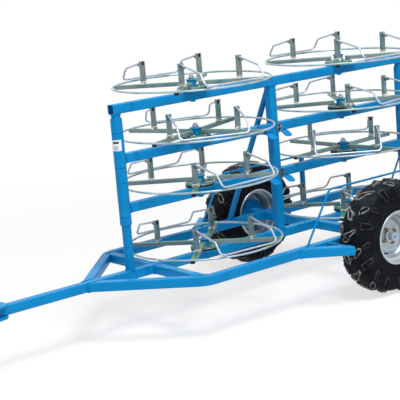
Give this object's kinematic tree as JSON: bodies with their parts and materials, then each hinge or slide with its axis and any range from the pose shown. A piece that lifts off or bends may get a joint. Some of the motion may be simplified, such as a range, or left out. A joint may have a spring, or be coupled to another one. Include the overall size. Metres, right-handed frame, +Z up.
{
  "type": "towed wire reel trailer",
  "caption": "Two-wheeled square-tube trailer with spinning wire reels in two bays, swing-out arms on round masts and hinged bails over each reel rim.",
  "frame": {"origin": "on the ground under the middle of the trailer's length and width", "axes": "+X forward to the hitch, +Y to the left side, +Z up"},
  "size_m": [3.26, 1.343, 1.39],
  "materials": {
    "blue_paint": "gloss blue enamel on square steel tube",
    "zinc": "zinc plating with a yellow-green passivation tint",
    "bright_rod": "bright zinc-plated round rod",
    "tyre": "black rubber with dusty lug edges",
    "rim": "silver-painted pressed steel"
  },
  "bodies": {
    "chassis": {"spine": "blue_paint", "side_rail_left": "blue_paint", "side_rail_right": "blue_paint", "front_cross_left": "blue_paint", "front_cross_right": "blue_paint", "axle_beam_left": "blue_paint", "axle_beam_right": "blue_paint", "deflector_left": "blue_paint", "deflector_right": "blue_paint", "guard_hoop_left": "blue_paint", "guard_hoop_right": "blue_paint", "front_mast": "blue_paint", "rear_mast": "blue_paint", "middle_mast": "blue_paint", "top_beam": "blue_paint", "mast_brace": "blue_paint", "rear_stay": "blue_paint", "hitch_plate_upper": "blue_paint", "hitch_plate_lower": "blue_paint", "spindle_front_1": "blue_paint", "spindle_front_4": "blue_paint", "spindle_rear_1": "blue_paint", "spindle_rear_4": "blue_paint"},
    "road_wheel_left": {"tyre_left": "tyre", "wheel_left": "rim", "hub_left": "blue_paint"},
    "road_wheel_right": {"tyre_right": "tyre", "wheel_right": "rim", "hub_right": "blue_paint"},
    "prop_stand": {"prop_leg": "zinc"},
    "swing_arm_front_2": {"arm_front_2": "blue_paint"},
    "swing_arm_front_3": {"arm_front_3": "blue_paint"},
    "swing_arm_rear_2": {"arm_rear_2": "blue_paint"},
    "swing_arm_rear_3": {"arm_rear_3": "blue_paint"},
    "arm_pin_2": {"linch_pin_2": "bright_rod"},
    "arm_pin_3": {"linch_pin_3": "bright_rod"},
    "spinning_reel_front_1": {"reel_front_1": "zinc"},
    "hinged_bail_front_1a": {"bail_front_1a": "bright_rod"},
    "hinged_bail_front_1b": {"bail_front_1b": "bright_rod"},
    "spinning_reel_front_2": {"reel_front_2": "zinc"},
    "hinged_bail_front_2a": {"bail_front_2a": "bright_rod"},
    "hinged_bail_front_2b": {"bail_front_2b": "bright_rod"},
    "spinning_reel_front_3": {"reel_front_3": "zinc"},
    "hinged_bail_front_3a": {"bail_front_3a": "bright_rod"},
    "hinged_bail_front_3b": {"bail_front_3b": "bright_rod"},
    "spinning_reel_front_4": {"reel_front_4": "zinc"},
    "hinged_bail_front_4a": {"bail_front_4a": "bright_rod"},
    "hinged_bail_front_4b": {"bail_front_4b": "bright_rod"},
    "spinning_reel_rear_1": {"reel_rear_1": "zinc"},
    "hinged_bail_rear_1a": {"bail_rear_1a": "bright_rod"},
    "hinged_bail_rear_1b": {"bail_rear_1b": "bright_rod"},
    "spinning_reel_rear_2": {"reel_rear_2": "zinc"},
    "hinged_bail_rear_2a": {"bail_rear_2a": "bright_rod"},
    "hinged_bail_rear_2b": {"bail_rear_2b": "bright_rod"},
    "spinning_reel_rear_3": {"reel_rear_3": "zinc"},
    "hinged_bail_rear_3a": {"bail_rear_3a": "bright_rod"},
    "hinged_bail_rear_3b": {"bail_rear_3b": "bright_rod"},
    "spinning_reel_rear_4": {"reel_rear_4": "zinc"},
    "hinged_bail_rear_4a": {"bail_rear_4a": "bright_rod"},
    "hinged_bail_rear_4b": {"bail_rear_4b": "bright_rod"}
  },
  "joints": [
    {"name": "wheel_spin_left", "type": "hinge", "parent": "chassis", "child": "road_wheel_left", "pos_m": [-0.716, 0.58, 0.318], "axis": [0, 1, 0], "continuous": true},
    {"name": "wheel_spin_right", "type": "hinge", "parent": "chassis", "child": "road_wheel_right", "pos_m": [-0.716, -0.58, 0.318], "axis": [0, 1, 0], "continuous": true},
    {"name": "prop_slide", "type": "slide", "parent": "chassis", "child": "prop_stand", "axis": [0, 0, 1], "range_m": [0, 0.2]},
    {"name": "arm_swing_front_2", "type": "hinge", "parent": "chassis", "child": "swing_arm_front_2", "pos_m": [0.62, 0, 0.931], "axis": [0, 0, -1], "range_deg": [0, 95]},
    {"name": "arm_swing_front_3", "type": "hinge", "parent": "chassis", "child": "swing_arm_front_3", "pos_m": [0.62, 0, 0.669], "axis": [0, 0, -1], "range_deg": [0, 95]},
    {"name": "arm_swing_rear_2", "type": "hinge", "parent": "chassis", "child": "swing_arm_rear_2", "pos_m": [-1.51, 0, 0.931], "axis": [0, 0, 1], "range_deg": [0, 95]},
    {"name": "arm_swing_rear_3", "type": "hinge", "parent": "chassis", "child": "swing_arm_rear_3", "pos_m": [-1.51, 0, 0.669], "axis": [0, 0, 1], "range_deg": [0, 95]},
    {"name": "pin_pull_2", "type": "slide", "parent": "swing_arm_rear_2", "child": "arm_pin_2", "axis": [0, 1, 0], "range_m": [0, 0.05]},
    {"name": "pin_pull_3", "type": "slide", "parent": "swing_arm_rear_3", "child": "arm_pin_3", "axis": [0, 1, 0], "range_m": [0, 0.05]},
    {"name": "reel_spin_front_1", "type": "hinge", "parent": "chassis", "child": "spinning_reel_front_1", "pos_m": [0.11, 0, 1.246], "axis": [0, 0, 1], "continuous": true},
    {"name": "bail_hinge_front_1a", "type": "hinge", "parent": "spinning_reel_front_1", "child": "hinged_bail_front_1a", "pos_m": [0.12292, 0.18481, 1.383], "axis": [0.9976, -0.0698, 0], "range_deg": [0, 110]},
    {"name": "bail_hinge_front_1b", "type": "hinge", "parent": "spinning_reel_front_1", "child": "hinged_bail_front_1b", "pos_m": [0.09708, -0.18481, 1.383], "axis": [-0.9976, 0.0698, 0], "range_deg": [0, 110]},
    {"name": "reel_spin_front_2", "type": "hinge", "parent": "swing_arm_front_2", "child": "spinning_reel_front_2", "pos_m": [0.11, 0, 0.986], "axis": [0, 0, 1], "continuous": true},
    {"name": "bail_hinge_front_2a", "type": "hinge", "parent": "spinning_reel_front_2", "child": "hinged_bail_front_2a", "pos_m": [0.18535, 0.16925, 1.123], "axis": [0.9135, -0.4067, 0], "range_deg": [0, 42]},
    {"name": "bail_hinge_front_2b", "type": "hinge", "parent": "spinning_reel_front_2", "child": "hinged_bail_front_2b", "pos_m": [0.03465, -0.16925, 1.123], "axis": [-0.9135, 0.4067, 0], "range_deg": [0, 42]},
    {"name": "reel_spin_front_3", "type": "hinge", "parent": "swing_arm_front_3", "child": "spinning_reel_front_3", "pos_m": [0.11, 0, 0.724], "axis": [0, 0, 1], "continuous": true},
    {"name": "bail_hinge_front_3a", "type": "hinge", "parent": "spinning_reel_front_3", "child": "hinged_bail_front_3a", "pos_m": [0.10353, 0.18515, 0.861], "axis": [0.9994, 0.0349, 0], "range_deg": [0, 42]},
    {"name": "bail_hinge_front_3b", "type": "hinge", "parent": "spinning_reel_front_3", "child": "hinged_bail_front_3b", "pos_m": [0.11647, -0.18515, 0.861], "axis": [-0.9994, -0.0349, 0], "range_deg": [0, 42]},
    {"name": "reel_spin_front_4", "type": "hinge", "parent": "chassis", "child": "spinning_reel_front_4", "pos_m": [0.11, 0, 0.37], "axis": [0, 0, 1], "continuous": true},
    {"name": "bail_hinge_front_4a", "type": "hinge", "parent": "spinning_reel_front_4", "child": "hinged_bail_front_4a", "pos_m": [0.1197, 0.18501, 0.507], "axis": [0.9986, -0.0523, 0], "range_deg": [0, 76]},
    {"name": "bail_hinge_front_4b", "type": "hinge", "parent": "spinning_reel_front_4", "child": "hinged_bail_front_4b", "pos_m": [0.1003, -0.18501, 0.507], "axis": [-0.9986, 0.0523, 0], "range_deg": [0, 76]},
    {"name": "reel_spin_rear_1", "type": "hinge", "parent": "chassis", "child": "spinning_reel_rear_1", "pos_m": [-0.997, 0, 1.246], "axis": [0, 0, 1], "continuous": true},
    {"name": "bail_hinge_rear_1a", "type": "hinge", "parent": "spinning_reel_rear_1", "child": "hinged_bail_rear_1a", "pos_m": [-0.99538, 0.18526, 1.383], "axis": [1, -0.0087, 0], "range_deg": [0, 110]},
    {"name": "bail_hinge_rear_1b", "type": "hinge", "parent": "spinning_reel_rear_1", "child": "hinged_bail_rear_1b", "pos_m": [-0.99862, -0.18526, 1.383], "axis": [-1, 0.0087, 0], "range_deg": [0, 110]},
    {"name": "reel_spin_rear_2", "type": "hinge", "parent": "swing_arm_rear_2", "child": "spinning_reel_rear_2", "pos_m": [-0.997, 0, 0.986], "axis": [0, 0, 1], "continuous": true},
    {"name": "bail_hinge_rear_2a", "type": "hinge", "parent": "spinning_reel_rear_2", "child": "hinged_bail_rear_2a", "pos_m": [-1.02758, 0.18272, 1.123], "axis": [0.9863, 0.165, 0], "range_deg": [0, 42]},
    {"name": "bail_hinge_rear_2b", "type": "hinge", "parent": "spinning_reel_rear_2", "child": "hinged_bail_rear_2b", "pos_m": [-0.96642, -0.18272, 1.123], "axis": [-0.9863, -0.165, 0], "range_deg": [0, 42]},
    {"name": "reel_spin_rear_3", "type": "hinge", "parent": "swing_arm_rear_3", "child": "spinning_reel_rear_3", "pos_m": [-0.997, 0, 0.724], "axis": [0, 0, 1], "continuous": true},
    {"name": "bail_hinge_rear_3a", "type": "hinge", "parent": "spinning_reel_rear_3", "child": "hinged_bail_rear_3a", "pos_m": [-0.87546, 0.13982, 0.861], "axis": [0.7547, -0.6561, 0], "range_deg": [0, 42]},
    {"name": "bail_hinge_rear_3b", "type": "hinge", "parent": "spinning_reel_rear_3", "child": "hinged_bail_rear_3b", "pos_m": [-1.11854, -0.13982, 0.861], "axis": [-0.7547, 0.6561, 0], "range_deg": [0, 42]},
    {"name": "reel_spin_rear_4", "type": "hinge", "parent": "chassis", "child": "spinning_reel_rear_4", "pos_m": [-0.997, 0, 0.37], "axis": [0, 0, 1], "continuous": true},
    {"name": "bail_hinge_rear_4a", "type": "hinge", "parent": "spinning_reel_rear_4", "child": "hinged_bail_rear_4a", "pos_m": [-0.98408, 0.18481, 0.507], "axis": [0.9976, -0.0698, 0], "range_deg": [0, 76]},
    {"name": "bail_hinge_rear_4b", "type": "hinge", "parent": "spinning_reel_rear_4", "child": "hinged_bail_rear_4b", "pos_m": [-1.00992, -0.18481, 0.507], "axis": [-0.9976, 0.0698, 0], "range_deg": [0, 76]}
  ]
}
